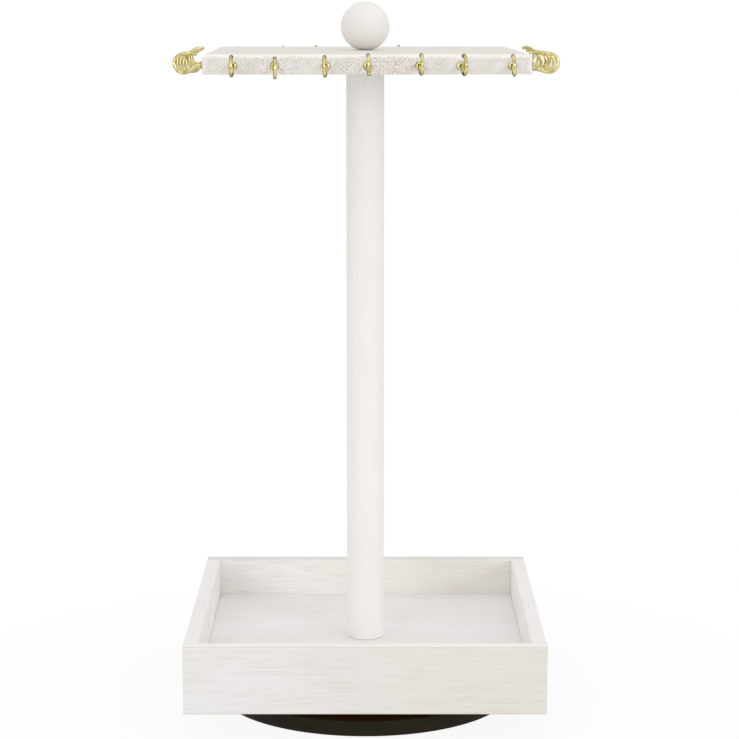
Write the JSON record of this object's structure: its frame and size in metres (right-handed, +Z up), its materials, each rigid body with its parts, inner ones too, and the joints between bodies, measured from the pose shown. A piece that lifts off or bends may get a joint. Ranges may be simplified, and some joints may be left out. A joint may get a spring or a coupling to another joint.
{
  "type": "revolving jewelry stand",
  "caption": "Revolving jewelry stand: square whitewashed tray on a black turntable, round post, square board with brass cup hooks on every edge, ball finial.",
  "frame": {"origin": "centre of the resting feet's underside, on the turning axis", "axes": "+Z up along the post and the turning axis, -Y is the front, +X to the right seen from the front"},
  "size_m": [0.2125, 0.2127, 0.4114],
  "materials": {
    "tray_whitewash": "whitewashed, matte, faint grain",
    "board_whitewash": "whitewashed, matte, slightly speckled",
    "post_whitewash": "painted white, matte",
    "brass": "polished, brass plated",
    "black_disc": "satin black paint",
    "zinc_steel": "zinc plated",
    "screw_steel": "zinc plated",
    "ball_steel": "polished",
    "cage_plastic": "moulded nylon",
    "rubber": "matte"
  },
  "bodies": {
    "turntable_base": {"rubber_feet": "rubber", "turntable_disc": "black_disc", "bearing_lower_plate": "zinc_steel", "lower_plate_screws": "screw_steel"},
    "ball_carrier": {"ball_cage": "cage_plastic", "bearing_balls": "ball_steel"},
    "stand": {"bearing_upper_plate": "zinc_steel", "corner_brads": "screw_steel", "finial_ball": "post_whitewash", "finial_screw": "screw_steel", "floor_brads": "screw_steel", "hook_back_1": "brass", "hook_back_2": "brass", "hook_back_3": "brass", "hook_back_4": "brass", "hook_back_5": "brass", "hook_back_6": "brass", "hook_back_7": "brass", "hook_board": "board_whitewash", "hook_front_1": "brass", "hook_front_2": "brass", "hook_front_3": "brass", "hook_front_4": "brass", "hook_front_5": "brass", "hook_front_6": "brass", "hook_front_7": "brass", "hook_left_1": "brass", "hook_left_2": "brass", "hook_left_3": "brass", "hook_left_4": "brass", "hook_left_5": "brass", "hook_left_6": "brass", "hook_left_7": "brass", "hook_right_1": "brass", "hook_right_2": "brass", "hook_right_3": "brass", "hook_right_4": "brass", "hook_right_5": "brass", "hook_right_6": "brass", "hook_right_7": "brass", "post": "post_whitewash", "post_screw": "screw_steel", "tray_back_wall": "tray_whitewash", "tray_floor": "tray_whitewash", "tray_front_wall": "tray_whitewash", "tray_left_wall": "tray_whitewash", "tray_right_wall": "tray_whitewash", "upper_plate_screws": "screw_steel"}
  },
  "joints": [
    {"name": "stand_spin", "type": "hinge", "parent": "turntable_base", "child": "stand", "pos_m": [0, 0, 0.015], "axis": [0, 0, 1], "continuous": true},
    {"name": "ball_orbit", "type": "hinge", "parent": "turntable_base", "child": "ball_carrier", "pos_m": [0, 0, 0.015], "axis": [0, 0, 1], "continuous": true}
  ],
  "couplings": [
    {"joint": "ball_orbit", "follows": "stand_spin", "ratio": 0.5}
  ]
}
